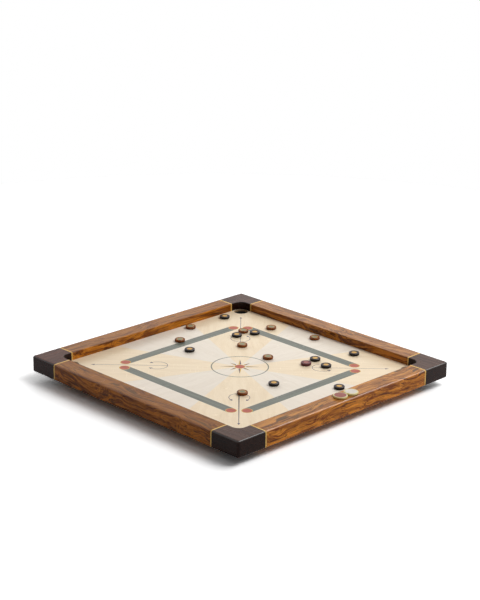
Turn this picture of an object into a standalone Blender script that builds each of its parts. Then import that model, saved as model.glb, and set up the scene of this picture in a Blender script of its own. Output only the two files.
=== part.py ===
"""A carrom board with its men and strikers, modelled at real size in metres.

The floor is z = 0 and the centre of the board is above the origin. The front rail faces -Y and the
right rail faces +X. The frame is four rails and four corner blocks, with a thin pale strip in every
joint and a loose tenon through it. The bed sits in a rebate under the frame's lip and is held up by
cleats; the pocket cups hang under its corner holes, and the whole board stands on four turned feet.
"""

import math

import bmesh
import bpy
from mathutils import Matrix, Vector

# Playing field, frame and bed
FIELD_SIDE = 0.740
RAIL_WIDTH = 0.0588
FRAME_HEIGHT = 0.0487
FIELD_RECESS = 0.0248
OUTER_EDGE_RADIUS = 0.0056
INNER_EDGE_RADIUS = 0.0022
CORNER_SOFTENING = 0.0020
CORNER_LEG = 0.1024
STRIP_THICKNESS = 0.0042
REBATE_DEPTH = 0.012
BED_THICKNESS = 0.012
VENEER_THICKNESS = 0.0010

# Joints, supports, pockets and feet
TENON_WIDTH = 0.022
TENON_THICKNESS = 0.008
TENON_LENGTH = 0.044
BATTEN_WIDTH = 0.060
BATTEN_PLACE_SHARE = 0.68
TIMBER_CHAMFER = 0.0012
POCKET_DIAMETER = 0.0445
CUP_EASE = 0.00125
CUP_WALL = 0.0025
CUP_DEPTH = 0.024
CUP_FLANGE_THICKNESS = 0.0022
CUP_FLANGE_CLEARANCE = 0.0022
CUP_FLOOR_FILLET = 0.0012
CLEAT_END_CLEARANCE = 0.002
FOOT_HEIGHT = 0.022
FOOT_TOP_RADIUS = 0.0150
FOOT_BASE_RADIUS = 0.0125
FOOT_CHAMFER = 0.0016
FOOT_SPIGOT_RADIUS = 0.005
FOOT_SPIGOT_SHARE = 0.70
FOOT_FROM_BATTEN_END = 0.040

# Men and strikers
MAN_DIAMETER = 0.0315
MAN_THICKNESS = 0.0080
MAN_EDGE_RADIUS = 0.0013
MAN_INLAY_DIAMETER = 0.0180
STRIKER_DIAMETER = 0.0413
STRIKER_THICKNESS = 0.0065
STRIKER_EDGE_RADIUS = 0.0015
STRIKER_INLAY_DIAMETER = 0.0330
GROOVE_WIDTH = 0.0008
GROOVE_DEPTH = 0.0004
STRIKER_GAP = 0.0005

# Fits, overruns and tolerances
FIT_GAP = 0.0003
CUT_OVERRUN = 0.004
MERGE_DISTANCE = 0.00001
MATCH_DISTANCE = 0.00002

# How finely the round work is faceted
HOLE_STEPS = 32
MAN_STEPS = 24
STRIKER_STEPS = 32
CUP_STEPS = 24
FOOT_STEPS = 16
SPIGOT_STEPS = 16
ROUND_STEPS = 6
EDGE_STEPS = 4
DISC_EDGE_STEPS = 2
CHAMFER_STEPS = 1
ROUND_PROFILE = 0.5
FLAT_LIMIT = math.radians(0.05)
SHARP_LIMIT = math.radians(32)

# Worked out from the sizes above
HALF_FIELD = FIELD_SIDE / 2
HALF_SIDE = HALF_FIELD + RAIL_WIDTH
CORNER_RADIUS = OUTER_EDGE_RADIUS + CORNER_SOFTENING
FRAME_BOTTOM_Z = FOOT_HEIGHT
FRAME_TOP_Z = FRAME_BOTTOM_Z + FRAME_HEIGHT
SURFACE_Z = FRAME_TOP_Z - FIELD_RECESS
BED_BOTTOM_Z = SURFACE_Z - BED_THICKNESS
LIP_Z = SURFACE_Z + FIT_GAP
HALF_BED = HALF_FIELD + REBATE_DEPTH - FIT_GAP
STRIP_PLACE = HALF_SIDE - CORNER_LEG
RAIL_HALF_LENGTH = STRIP_PLACE - STRIP_THICKNESS / 2 - FIT_GAP
BLOCK_START = STRIP_PLACE + STRIP_THICKNESS / 2 + FIT_GAP
POCKET_RADIUS = POCKET_DIAMETER / 2
POCKET_PLACE = HALF_FIELD - POCKET_RADIUS
CUP_INNER_RADIUS = POCKET_RADIUS + CUP_EASE
CUP_OUTER_RADIUS = CUP_INNER_RADIUS + CUP_WALL
CUP_FLANGE_RADIUS = POCKET_RADIUS + REBATE_DEPTH - CUP_FLANGE_CLEARANCE
CLEAT_HEIGHT = BED_BOTTOM_Z - FIT_GAP - FRAME_BOTTOM_Z
CLEAT_HALF_LENGTH = POCKET_PLACE - CUP_FLANGE_RADIUS - CLEAT_END_CLEARANCE
TENON_FROM_INNER_FACE = (REBATE_DEPTH + RAIL_WIDTH) / 2
TENON_HEIGHT_Z = FRAME_BOTTOM_Z + FRAME_HEIGHT / 2
BATTEN_PLACE = BATTEN_PLACE_SHARE * HALF_FIELD
BATTEN_HALF_LENGTH = HALF_FIELD - FIT_GAP
FOOT_PLACE = BATTEN_HALF_LENGTH - FOOT_FROM_BATTEN_END
FOOT_SPIGOT_LENGTH = FOOT_SPIGOT_SHARE * CLEAT_HEIGHT

# The four sides of the frame, each with its outward turn from the right rail's side
SIDE_TURNS = {
    "right": 0.0,
    "back": math.radians(90),
    "left": math.radians(180),
    "front": math.radians(270),
}

# The corner at each end of a side: first the end on its left as seen from outside, then the right
SIDE_CORNERS = {
    "front": ("left", "right"),
    "right": ("front", "back"),
    "back": ("right", "left"),
    "left": ("back", "front"),
}

# The four corners, each with its turn from the back right corner
CORNER_TURNS = {
    "back_right": 0.0,
    "back_left": math.radians(90),
    "front_left": math.radians(180),
    "front_right": math.radians(270),
}

# Where each man that stands clear of the others lies, in shares of half the field
FREE_MAN_SHARES = {
    "black_man_1": (-0.911, 0.716),
    "black_man_2": (-0.524, -0.053),
    "black_man_3": (0.433, 0.865),
    "black_man_4": (0.466, 0.496),
    "black_man_5": (0.455, -0.083),
    "black_man_6": (0.846, 0.232),
    "brown_man_1": (-0.921, 0.329),
    "brown_man_2": (-0.746, 0.045),
    "brown_man_3": (-0.551, 0.584),
    "brown_man_4": (-0.316, 0.339),
    "brown_man_5": (0.023, 0.292),
    "brown_man_6": (-0.451, 0.813),
    "brown_man_7": (-0.034, 0.900),
    "brown_man_8": (0.426, -0.394),
    "queen": (0.324, 0.416),
}

# Men that lie close to another one: that man, the gap between their edges and the direction to it
NEIGHBOUR_GAP_WIDE = 0.0154
NEIGHBOUR_GAP_MIDDLE = 0.0118
NEIGHBOUR_GAP_NARROW = 0.0064
CLOSE_MEN = {
    "black_man_7": ("brown_man_3", NEIGHBOUR_GAP_MIDDLE, math.radians(-72.4)),
    "black_man_8": ("brown_man_3", NEIGHBOUR_GAP_NARROW, math.radians(21.9)),
    "black_man_9": ("queen", NEIGHBOUR_GAP_WIDE, math.radians(98.3)),
}

# The strikers lie on the right rail: the pale one's place along it, and its shift across the rail
PALE_STRIKER_SHARE = 0.095
PALE_STRIKER_SHIFT = 0.0028
STRIKER_LEAN = math.radians(267.0)

# Finishes: base colour, roughness and metallic value
FINISHES = {
    "rosewood": ((0.230, 0.088, 0.026), 0.34, 0.0),
    "ebony": ((0.024, 0.017, 0.015), 0.36, 0.0),
    "boxwood": ((0.620, 0.440, 0.200), 0.40, 0.0),
    "maple_veneer": ((0.780, 0.690, 0.560), 0.30, 0.0),
    "birch_ply": ((0.560, 0.390, 0.220), 0.60, 0.0),
    "beech": ((0.520, 0.330, 0.170), 0.60, 0.0),
    "black_cup": ((0.010, 0.010, 0.011), 0.75, 0.0),
    "black_foot": ((0.015, 0.014, 0.014), 0.70, 0.0),
    "black_wood": ((0.018, 0.013, 0.012), 0.35, 0.0),
    "brown_wood": ((0.280, 0.110, 0.035), 0.35, 0.0),
    "purple_wood": ((0.170, 0.025, 0.035), 0.35, 0.0),
    "rose_ivory": ((0.700, 0.500, 0.420), 0.28, 0.0),
    "pale_ivory": ((0.740, 0.690, 0.540), 0.28, 0.0),
}

for leftover in list(bpy.data.objects):
    bpy.data.objects.remove(leftover)

parts = bpy.data.collections.new("carrom_board")
bpy.context.scene.collection.children.link(parts)
cutters = bpy.data.collections.new("cutters")
bpy.context.scene.collection.children.link(cutters)

board = bpy.data.objects.new("board", None)
parts.objects.link(board)


def make_finish(name):
    """Make the Principled material of one finish."""
    colour, roughness, metallic = FINISHES[name]
    material = bpy.data.materials.new(name)
    material.use_nodes = True
    shader = material.node_tree.nodes["Principled BSDF"]
    shader.inputs["Base Color"].default_value = (*colour, 1.0)
    shader.inputs["Roughness"].default_value = roughness
    shader.inputs["Metallic"].default_value = metallic
    material.diffuse_color = (*colour, 1.0)
    return material


materials = {name: make_finish(name) for name in FINISHES}


def add_part(name, mesh, finish, place):
    """Put one piece in the board with its own material, at the given place."""
    mesh.materials.clear()
    mesh.materials.append(materials[finish])
    mesh.shade_smooth()
    mesh.set_sharp_from_angle(angle=SHARP_LIMIT)
    part = bpy.data.objects.new(name, mesh)
    parts.objects.link(part)
    part.parent = board
    part.matrix_world = place
    return part


def add_cutter(name, mesh, place):
    """Put one cutting solid beside the board, left out of the model."""
    cutter = bpy.data.objects.new(name, mesh)
    cutters.objects.link(cutter)
    cutter.matrix_world = place
    cutter.display_type = "WIRE"
    cutter.hide_render = True
    return cutter


def cut(part, cutter):
    """Take the cutter's space out of a part."""
    modifier = part.modifiers.new(cutter.name, "BOOLEAN")
    modifier.operation = "DIFFERENCE"
    modifier.solver = "EXACT"
    modifier.object = cutter


def arc(centre, radius, start, end, steps):
    """Return the points of an arc, both ends included."""
    points = []
    for step in range(steps + 1):
        turn = start + (end - start) * step / steps
        points.append((centre[0] + radius * math.cos(turn), centre[1] + radius * math.sin(turn)))
    return points


def outline_mesh(name, points, thickness):
    """Make a closed solid from a flat outline, centred on its own thickness."""
    curve = bpy.data.curves.new(name, "CURVE")
    curve.dimensions = "2D"
    curve.fill_mode = "BOTH"
    curve.extrude = thickness / 2
    spline = curve.splines.new("POLY")
    spline.points.add(len(points) - 1)
    for point, (x, y) in zip(spline.points, points):
        point.co = (x, y, 0, 1)
    spline.use_cyclic_u = True
    flat = bpy.data.objects.new(name + "_outline", curve)
    cutters.objects.link(flat)
    bpy.context.view_layer.update()
    seen = flat.evaluated_get(bpy.context.evaluated_depsgraph_get())
    mesh = bpy.data.meshes.new_from_object(seen)
    mesh.name = name
    bpy.data.objects.remove(flat)
    work = bmesh.new()
    work.from_mesh(mesh)
    bmesh.ops.remove_doubles(work, verts=work.verts, dist=MERGE_DISTANCE)
    bmesh.ops.dissolve_limit(work, angle_limit=FLAT_LIMIT, verts=work.verts, edges=work.edges)
    bmesh.ops.recalc_face_normals(work, faces=work.faces)
    work.to_mesh(mesh)
    work.free()
    return mesh


def box_mesh(name, size, chamfer):
    """Make a box with its centre at the origin, its edges taken off where a chamfer is given."""
    work = bmesh.new()
    bmesh.ops.create_cube(work, size=1.0)
    bmesh.ops.scale(work, vec=size, verts=work.verts)
    if chamfer:
        bmesh.ops.bevel(
            work, geom=work.edges[:], offset=chamfer, segments=CHAMFER_STEPS, affect="EDGES"
        )
    mesh = bpy.data.meshes.new(name)
    work.to_mesh(mesh)
    work.free()
    return mesh


def cylinder_mesh(name, radius, height, steps):
    """Make an upright cylinder with its centre at the origin."""
    work = bmesh.new()
    bmesh.ops.create_cone(
        work, cap_ends=True, segments=steps, radius1=radius, radius2=radius, depth=height
    )
    mesh = bpy.data.meshes.new(name)
    work.to_mesh(mesh)
    work.free()
    return mesh


def profile_mesh(name, profile):
    """Make the open line of a turned piece, from its top centre down its outer side."""
    mesh = bpy.data.meshes.new(name)
    edges = [(index, index + 1) for index in range(len(profile) - 1)]
    mesh.from_pydata([(radius, 0, height) for radius, height in profile], edges, [])
    return mesh


def turn(part, steps):
    """Turn a part's profile about its own upright axis."""
    screw = part.modifiers.new("turn", "SCREW")
    screw.steps = steps
    screw.render_steps = steps
    screw.use_merge_vertices = True
    screw.merge_threshold = MERGE_DISTANCE


def side_place(turn_about_up, outward, along, height):
    """Return a place on one side: x points outward, y up, measured from the inner face."""
    spot = Vector((HALF_FIELD + outward, along, 0))
    spot.rotate(Matrix.Rotation(turn_about_up, 3, "Z"))
    spot.z = height
    spin = Matrix.Rotation(turn_about_up, 4, "Z") @ Matrix.Rotation(math.radians(90), 4, "X")
    return Matrix.Translation(spot) @ spin


def corner_place(turn_about_up, height):
    """Return the place of a corner piece that is drawn at the back right corner."""
    return Matrix.Translation((0, 0, height)) @ Matrix.Rotation(turn_about_up, 4, "Z")


def corner_spot(corner, reach):
    """Return the x and y of a corner's spot, the same distance out along both."""
    spot = Vector((reach, reach, 0))
    spot.rotate(Matrix.Rotation(CORNER_TURNS[corner], 3, "Z"))
    return spot.x, spot.y


def rail_outline():
    """Return the frame's section: x outward from the inner face, y up from its bottom."""
    lip = LIP_Z - FRAME_BOTTOM_Z
    outer = RAIL_WIDTH - OUTER_EDGE_RADIUS
    inner_top = (INNER_EDGE_RADIUS, FRAME_HEIGHT - INNER_EDGE_RADIUS)
    outer_top = (outer, FRAME_HEIGHT - OUTER_EDGE_RADIUS)
    outer_bottom = (outer, OUTER_EDGE_RADIUS)
    points = [(REBATE_DEPTH, 0)]
    points += arc(outer_bottom, OUTER_EDGE_RADIUS, math.radians(-90), 0, EDGE_STEPS)
    points += arc(outer_top, OUTER_EDGE_RADIUS, 0, math.radians(90), EDGE_STEPS)
    points += arc(inner_top, INNER_EDGE_RADIUS, math.radians(90), math.radians(180), EDGE_STEPS)
    points += [(0, lip), (REBATE_DEPTH, lip)]
    return points


def slot_outline(width, thickness):
    """Return a flat outline with round ends, centred on the origin."""
    reach = (width - thickness) / 2
    quarter = math.radians(90)
    points = arc((reach, 0), thickness / 2, -quarter, quarter, ROUND_STEPS)
    points += arc((-reach, 0), thickness / 2, quarter, 3 * quarter, ROUND_STEPS)
    return points


def block_outline():
    """Return the plan of the back right corner block, round the pocket on its inner side."""
    corner = (HALF_SIDE - CORNER_RADIUS, HALF_SIDE - CORNER_RADIUS)
    pocket = (POCKET_PLACE, POCKET_PLACE)
    points = [(BLOCK_START, HALF_FIELD)]
    points += arc(pocket, POCKET_RADIUS, math.radians(90), 0, ROUND_STEPS)
    points += [(HALF_FIELD, BLOCK_START), (HALF_SIDE, BLOCK_START)]
    points += arc(corner, CORNER_RADIUS, 0, math.radians(90), ROUND_STEPS)
    points += [(BLOCK_START, HALF_SIDE)]
    return points


def near(value, target):
    """Say whether two lengths are the same."""
    return abs(value - target) < MATCH_DISTANCE


def on_outer_wall(edge):
    """Say whether an edge of the corner block runs along its outer wall."""
    bend = HALF_SIDE - CORNER_RADIUS - MATCH_DISTANCE
    ends = [vert.co for vert in edge.verts]
    on_x = all(near(end.x, HALF_SIDE) for end in ends)
    on_y = all(near(end.y, HALF_SIDE) for end in ends)
    on_bend = all(end.x > bend and end.y > bend for end in ends)
    return on_x or on_y or on_bend


def on_inner_wall(edge):
    """Say whether an edge of the corner block runs along the wall that faces the field."""
    ends = [vert.co for vert in edge.verts]
    on_x = all(near(end.x, HALF_FIELD) for end in ends)
    on_y = all(near(end.y, HALF_FIELD) for end in ends)
    pocket = Vector((POCKET_PLACE, POCKET_PLACE))
    on_bend = all(near((end.xy - pocket).length, POCKET_RADIUS) for end in ends)
    return on_x or on_y or on_bend


def block_mesh():
    """Make the corner block, its outer edges and its inner top edge rounded like the rails'."""
    mesh = outline_mesh("corner_block", block_outline(), FRAME_HEIGHT)
    top = FRAME_HEIGHT / 2
    work = bmesh.new()
    work.from_mesh(mesh)
    flat = [edge for edge in work.edges if near(edge.verts[0].co.z, edge.verts[1].co.z)]
    outer = [edge for edge in flat if on_outer_wall(edge)]
    inner = [edge for edge in flat if on_inner_wall(edge) and near(edge.verts[0].co.z, top)]
    for edges, radius in ((outer, OUTER_EDGE_RADIUS), (inner, INNER_EDGE_RADIUS)):
        bmesh.ops.bevel(
            work,
            geom=edges,
            offset=radius,
            segments=EDGE_STEPS,
            profile=ROUND_PROFILE,
            affect="EDGES",
        )
    work.to_mesh(mesh)
    work.free()
    return mesh


def joint_name(side, end):
    """Name the joint at one end of a side, such as front_left."""
    return f"{side}_{SIDE_CORNERS[side][end]}"


def make_mortises():
    """Make the cutter of every tenon's mortise, one for each joint of the frame."""
    width = TENON_WIDTH + 2 * FIT_GAP
    thickness = TENON_THICKNESS + 2 * FIT_GAP
    mesh = outline_mesh("mortise", slot_outline(width, thickness), TENON_LENGTH + 2 * FIT_GAP)
    mortises = {}
    for side, turn_about_up in SIDE_TURNS.items():
        for end, along in enumerate((-STRIP_PLACE, STRIP_PLACE)):
            place = side_place(turn_about_up, TENON_FROM_INNER_FACE, along, TENON_HEIGHT_Z)
            name = joint_name(side, end)
            mortises[name] = add_cutter(f"mortise_{name}", mesh, place)
    return mortises


def make_tenons():
    """Make the eight loose tenons, each through a pale strip into a rail and a corner block."""
    outline = slot_outline(TENON_WIDTH, TENON_THICKNESS)
    for side, turn_about_up in SIDE_TURNS.items():
        for end, along in enumerate((-STRIP_PLACE, STRIP_PLACE)):
            place = side_place(turn_about_up, TENON_FROM_INNER_FACE, along, TENON_HEIGHT_Z)
            name = f"tenon_{joint_name(side, end)}"
            add_part(name, outline_mesh(name, outline, TENON_LENGTH), "beech", place)


def make_rails(mortises):
    """Make the four rails, mortised at both ends."""
    for side, turn_about_up in SIDE_TURNS.items():
        name = f"{side}_rail"
        mesh = outline_mesh(name, rail_outline(), 2 * RAIL_HALF_LENGTH)
        rail = add_part(name, mesh, "rosewood", side_place(turn_about_up, 0, 0, FRAME_BOTTOM_Z))
        for end in range(2):
            cut(rail, mortises[joint_name(side, end)])


def make_strips(mortises):
    """Make the eight pale strips, of the rails' own section, between rails and corner blocks."""
    for side, turn_about_up in SIDE_TURNS.items():
        for end, along in enumerate((-STRIP_PLACE, STRIP_PLACE)):
            name = f"inlay_strip_{joint_name(side, end)}"
            mesh = outline_mesh(name, rail_outline(), STRIP_THICKNESS)
            place = side_place(turn_about_up, 0, along, FRAME_BOTTOM_Z)
            cut(add_part(name, mesh, "boxwood", place), mortises[joint_name(side, end)])


def make_blocks(mortises):
    """Make the four corner blocks, hollowed below for the bed and mortised for two tenons."""
    recess_height = LIP_Z - FRAME_BOTTOM_Z + CUT_OVERRUN
    recess_side = 2 * (HALF_FIELD + REBATE_DEPTH)
    recess_mesh = box_mesh("bed_recess", (recess_side, recess_side, recess_height), 0)
    recess = add_cutter(
        "bed_recess", recess_mesh, Matrix.Translation((0, 0, LIP_Z - recess_height / 2))
    )
    joints = {
        "front_left": ("front_left", "left_front"),
        "front_right": ("front_right", "right_front"),
        "back_right": ("back_right", "right_back"),
        "back_left": ("back_left", "left_back"),
    }
    for corner, turn_about_up in CORNER_TURNS.items():
        place = corner_place(turn_about_up, FRAME_BOTTOM_Z + FRAME_HEIGHT / 2)
        block = add_part(f"corner_block_{corner}", block_mesh(), "ebony", place)
        cut(block, recess)
        for joint in joints[corner]:
            cut(block, mortises[joint])


def make_bed():
    """Make the bed and its veneered playing face, with a hole through both at every pocket."""
    veneer_mesh = box_mesh("playing_veneer", (2 * HALF_BED, 2 * HALF_BED, VENEER_THICKNESS), 0)
    veneer_place = Matrix.Translation((0, 0, SURFACE_Z - VENEER_THICKNESS / 2))
    veneer = add_part("playing_veneer", veneer_mesh, "maple_veneer", veneer_place)
    core_thickness = BED_THICKNESS - VENEER_THICKNESS - FIT_GAP
    core_mesh = box_mesh("bed_core", (2 * HALF_BED, 2 * HALF_BED, core_thickness), 0)
    core_place = Matrix.Translation((0, 0, BED_BOTTOM_Z + core_thickness / 2))
    core = add_part("bed_core", core_mesh, "birch_ply", core_place)
    hole_height = BED_THICKNESS + 2 * CUT_OVERRUN
    hole_mesh = cylinder_mesh("pocket_hole", POCKET_RADIUS, hole_height, HOLE_STEPS)
    for corner in CORNER_TURNS:
        x, y = corner_spot(corner, POCKET_PLACE)
        place = Matrix.Translation((x, y, BED_BOTTOM_Z + BED_THICKNESS / 2))
        hole = add_cutter(f"pocket_hole_{corner}", hole_mesh, place)
        cut(veneer, hole)
        cut(core, hole)


def make_cleats_and_battens():
    """Make the cleats that hold the bed up in its rebate, and the two bored battens under it."""
    depth = REBATE_DEPTH - FIT_GAP
    middle_z = FRAME_BOTTOM_Z + CLEAT_HEIGHT / 2
    for side, turn_about_up in SIDE_TURNS.items():
        name = f"{side}_cleat"
        mesh = box_mesh(name, (depth, CLEAT_HEIGHT, 2 * CLEAT_HALF_LENGTH), TIMBER_CHAMFER)
        add_part(name, mesh, "beech", side_place(turn_about_up, depth / 2, 0, middle_z))
    bore_mesh = cylinder_mesh(
        "foot_bore", FOOT_SPIGOT_RADIUS + FIT_GAP, 2 * (FOOT_SPIGOT_LENGTH + FIT_GAP), SPIGOT_STEPS
    )
    for end, sign in (("left", -1), ("right", 1)):
        name = f"{end}_batten"
        mesh = box_mesh(name, (BATTEN_WIDTH, 2 * BATTEN_HALF_LENGTH, CLEAT_HEIGHT), TIMBER_CHAMFER)
        place = Matrix.Translation((sign * BATTEN_PLACE, 0, middle_z))
        batten = add_part(name, mesh, "beech", place)
        for foot, (x, y) in foot_spots().items():
            if foot.endswith(end):
                place = Matrix.Translation((x, y, FRAME_BOTTOM_Z))
                cut(batten, add_cutter(f"bore_{foot}", bore_mesh, place))


def make_cups():
    """Make the four pocket cups, whose flanges are fastened under the bed."""
    floor = CUP_FLOOR_FILLET
    profile = [
        (0, CUP_WALL - CUP_DEPTH),
        (CUP_INNER_RADIUS - floor, CUP_WALL - CUP_DEPTH),
        (CUP_INNER_RADIUS, CUP_WALL + floor - CUP_DEPTH),
        (CUP_INNER_RADIUS, 0),
        (CUP_FLANGE_RADIUS, 0),
        (CUP_FLANGE_RADIUS, -CUP_FLANGE_THICKNESS),
        (CUP_OUTER_RADIUS, -CUP_FLANGE_THICKNESS),
        (CUP_OUTER_RADIUS, floor - CUP_DEPTH),
        (CUP_OUTER_RADIUS - floor, -CUP_DEPTH),
        (0, -CUP_DEPTH),
    ]
    for corner in CORNER_TURNS:
        name = f"pocket_cup_{corner}"
        x, y = corner_spot(corner, POCKET_PLACE)
        place = Matrix.Translation((x, y, BED_BOTTOM_Z - FIT_GAP))
        turn(add_part(name, profile_mesh(name, profile), "black_cup", place), CUP_STEPS)


def foot_spots():
    """Return the x and y of each foot, under the two battens near their ends."""
    spots = {}
    for row, y in (("front", -FOOT_PLACE), ("back", FOOT_PLACE)):
        for column, x in (("left", -BATTEN_PLACE), ("right", BATTEN_PLACE)):
            spots[f"{row}_{column}"] = (x, y)
    return spots


def make_feet():
    """Make the four turned feet, each with a spigot glued into a batten."""
    shoulder = FOOT_HEIGHT - FIT_GAP
    top = FRAME_BOTTOM_Z + FOOT_SPIGOT_LENGTH
    profile = [
        (0, top),
        (FOOT_SPIGOT_RADIUS, top),
        (FOOT_SPIGOT_RADIUS, shoulder),
        (FOOT_TOP_RADIUS - FOOT_CHAMFER, shoulder),
        (FOOT_TOP_RADIUS, shoulder - FOOT_CHAMFER),
        (FOOT_BASE_RADIUS, FOOT_CHAMFER),
        (FOOT_BASE_RADIUS - FOOT_CHAMFER, 0),
        (0, 0),
    ]
    for spot, (x, y) in foot_spots().items():
        name = f"foot_{spot}"
        place = Matrix.Translation((x, y, 0))
        turn(add_part(name, profile_mesh(name, profile), "black_foot", place), FOOT_STEPS)


def disc_profile(diameter, thickness, edge, inlay):
    """Return the section of a man or a striker, with the fine groove round its inlay."""
    radius = diameter / 2
    groove = inlay / 2
    centre = (radius - edge, thickness - edge)
    top_edge = arc(centre, edge, math.radians(90), 0, DISC_EDGE_STEPS)
    return [
        (0, thickness),
        (groove - GROOVE_WIDTH / 2, thickness),
        (groove, thickness - GROOVE_DEPTH),
        (groove + GROOVE_WIDTH / 2, thickness),
        *top_edge,
        (radius, edge),
        (radius - edge, 0),
        (0, 0),
    ]


def man_places():
    """Return where every man lies on the field, as x and y."""
    places = {
        name: Vector(shares) * HALF_FIELD for name, shares in FREE_MAN_SHARES.items()
    }
    for name, (neighbour, gap, direction) in CLOSE_MEN.items():
        step = Vector((math.cos(direction), math.sin(direction)))
        places[name] = places[neighbour] + (MAN_DIAMETER + gap) * step
    return places


def man_finish(name):
    """Return the wood that a man is turned from."""
    if name.startswith("black"):
        return "black_wood"
    if name.startswith("brown"):
        return "brown_wood"
    return "purple_wood"


def make_men():
    """Make the eighteen men, each resting on the field with its origin on its own axis."""
    profile = disc_profile(MAN_DIAMETER, MAN_THICKNESS, MAN_EDGE_RADIUS, MAN_INLAY_DIAMETER)
    for name, spot in sorted(man_places().items()):
        place = Matrix.Translation((spot.x, spot.y, SURFACE_Z + FIT_GAP))
        turn(add_part(name, profile_mesh(name, profile), man_finish(name), place), MAN_STEPS)


def make_strikers():
    """Make the two strikers, side by side on top of the right rail."""
    profile = disc_profile(
        STRIKER_DIAMETER, STRIKER_THICKNESS, STRIKER_EDGE_RADIUS, STRIKER_INLAY_DIAMETER
    )
    pale = Vector(
        (HALF_FIELD + RAIL_WIDTH / 2 + PALE_STRIKER_SHIFT, PALE_STRIKER_SHARE * HALF_FIELD)
    )
    lean = Vector((math.cos(STRIKER_LEAN), math.sin(STRIKER_LEAN)))
    rose = pale + (STRIKER_DIAMETER + STRIKER_GAP) * lean
    for name, spot, finish in (
        ("striker_pale", pale, "pale_ivory"),
        ("striker_rose", rose, "rose_ivory"),
    ):
        place = Matrix.Translation((spot.x, spot.y, FRAME_TOP_Z + FIT_GAP))
        turn(add_part(name, profile_mesh(name, profile), finish, place), STRIKER_STEPS)


def make_board():
    """Make the whole board in order, from the frame to the pieces that lie on it."""
    mortises = make_mortises()
    make_rails(mortises)
    make_strips(mortises)
    make_blocks(mortises)
    make_tenons()
    make_bed()
    make_cleats_and_battens()
    make_cups()
    make_feet()
    make_men()
    make_strikers()


make_board()
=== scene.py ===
"""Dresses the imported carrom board: its timbers, its inlaid field, its men, strikers and fixings.

Every piece is in metres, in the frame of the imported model: the floor is z = 0, the front rail faces
-Y and the right rail faces +X. The board's frame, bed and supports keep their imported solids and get
their woods here. The playing veneer, the men, the queen, the strikers and the pocket cups are made
again in finer detail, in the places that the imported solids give.
"""

from __future__ import annotations

import logging
import math
from dataclasses import dataclass, field, replace
from enum import Enum
import bmesh
import bpy
from mathutils import Matrix, Vector


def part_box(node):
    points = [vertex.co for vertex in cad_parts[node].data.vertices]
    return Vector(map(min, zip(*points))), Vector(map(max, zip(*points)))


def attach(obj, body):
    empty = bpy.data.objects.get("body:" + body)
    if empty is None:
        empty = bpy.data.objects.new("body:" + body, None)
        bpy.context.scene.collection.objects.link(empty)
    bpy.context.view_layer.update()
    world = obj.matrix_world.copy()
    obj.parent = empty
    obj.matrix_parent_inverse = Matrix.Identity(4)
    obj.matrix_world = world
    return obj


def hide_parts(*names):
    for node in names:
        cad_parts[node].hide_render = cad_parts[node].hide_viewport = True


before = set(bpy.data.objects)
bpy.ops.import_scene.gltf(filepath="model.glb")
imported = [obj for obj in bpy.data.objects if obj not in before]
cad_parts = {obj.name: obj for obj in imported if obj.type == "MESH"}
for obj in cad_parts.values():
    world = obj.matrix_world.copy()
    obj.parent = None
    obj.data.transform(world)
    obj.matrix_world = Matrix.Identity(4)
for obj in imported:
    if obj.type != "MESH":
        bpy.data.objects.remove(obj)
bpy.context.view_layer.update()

LOG = logging.getLogger("carrom_board")
BODY = "board"
BATTENS = ("left_batten", "right_batten")
VENEERS = 8
VENEER_SHIFT = 1.37
SHIFT_SHARES = (1.0, 0.31, 0.17)
QUARTER = 90
WELD = 0.000001
SHARP_EDGE = math.radians(40)
ORIGIN = (0.0, 0.0)
MEASURES = ("DISTANCE", "LENGTH", "DOT_PRODUCT")

Triple = tuple[float, float, float]
Colour = Triple
Span = tuple[float, float]
Point = tuple[float, float]
Outline = list[Point]
Socket = bpy.types.NodeSocket
Piece = bpy.types.Object
Material = bpy.types.Material
Mesh = bpy.types.Mesh


class Grain(Enum):
    """The way that a timber's grain runs in the board."""

    ALONG_X = "along x"
    ALONG_Y = "along y"
    FAN = "outward in a fan of veneers"

    @property
    def turn(self) -> float:
        """The turn that brings the grain to x, in radians."""
        return -math.tau / 4 if self is Grain.ALONG_Y else 0.0


class Spot(Enum):
    """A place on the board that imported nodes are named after."""

    @property
    def label(self) -> str:
        """The place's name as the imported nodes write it."""
        return self.name.lower()


class Corner(Spot):
    """A corner of the board, with the signs of its x and y."""

    FRONT_LEFT = (-1, -1)
    FRONT_RIGHT = (1, -1)
    BACK_LEFT = (-1, 1)
    BACK_RIGHT = (1, 1)

    @property
    def degrees(self) -> float:
        """The corner's turn from +X."""
        return math.degrees(math.atan2(self.value[1], self.value[0]))


class Side(Spot):
    """A side of the board, with its outward turn from +X in degrees."""

    RIGHT = 0
    BACK = 90
    LEFT = 180
    FRONT = 270

    @property
    def grain(self) -> Grain:
        """The way along the side."""
        return Grain.ALONG_X if self in (Side.FRONT, Side.BACK) else Grain.ALONG_Y

    @property
    def across(self) -> Grain:
        """The way across the side."""
        return Grain.ALONG_Y if self in (Side.FRONT, Side.BACK) else Grain.ALONG_X


# ---- nodes


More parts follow.
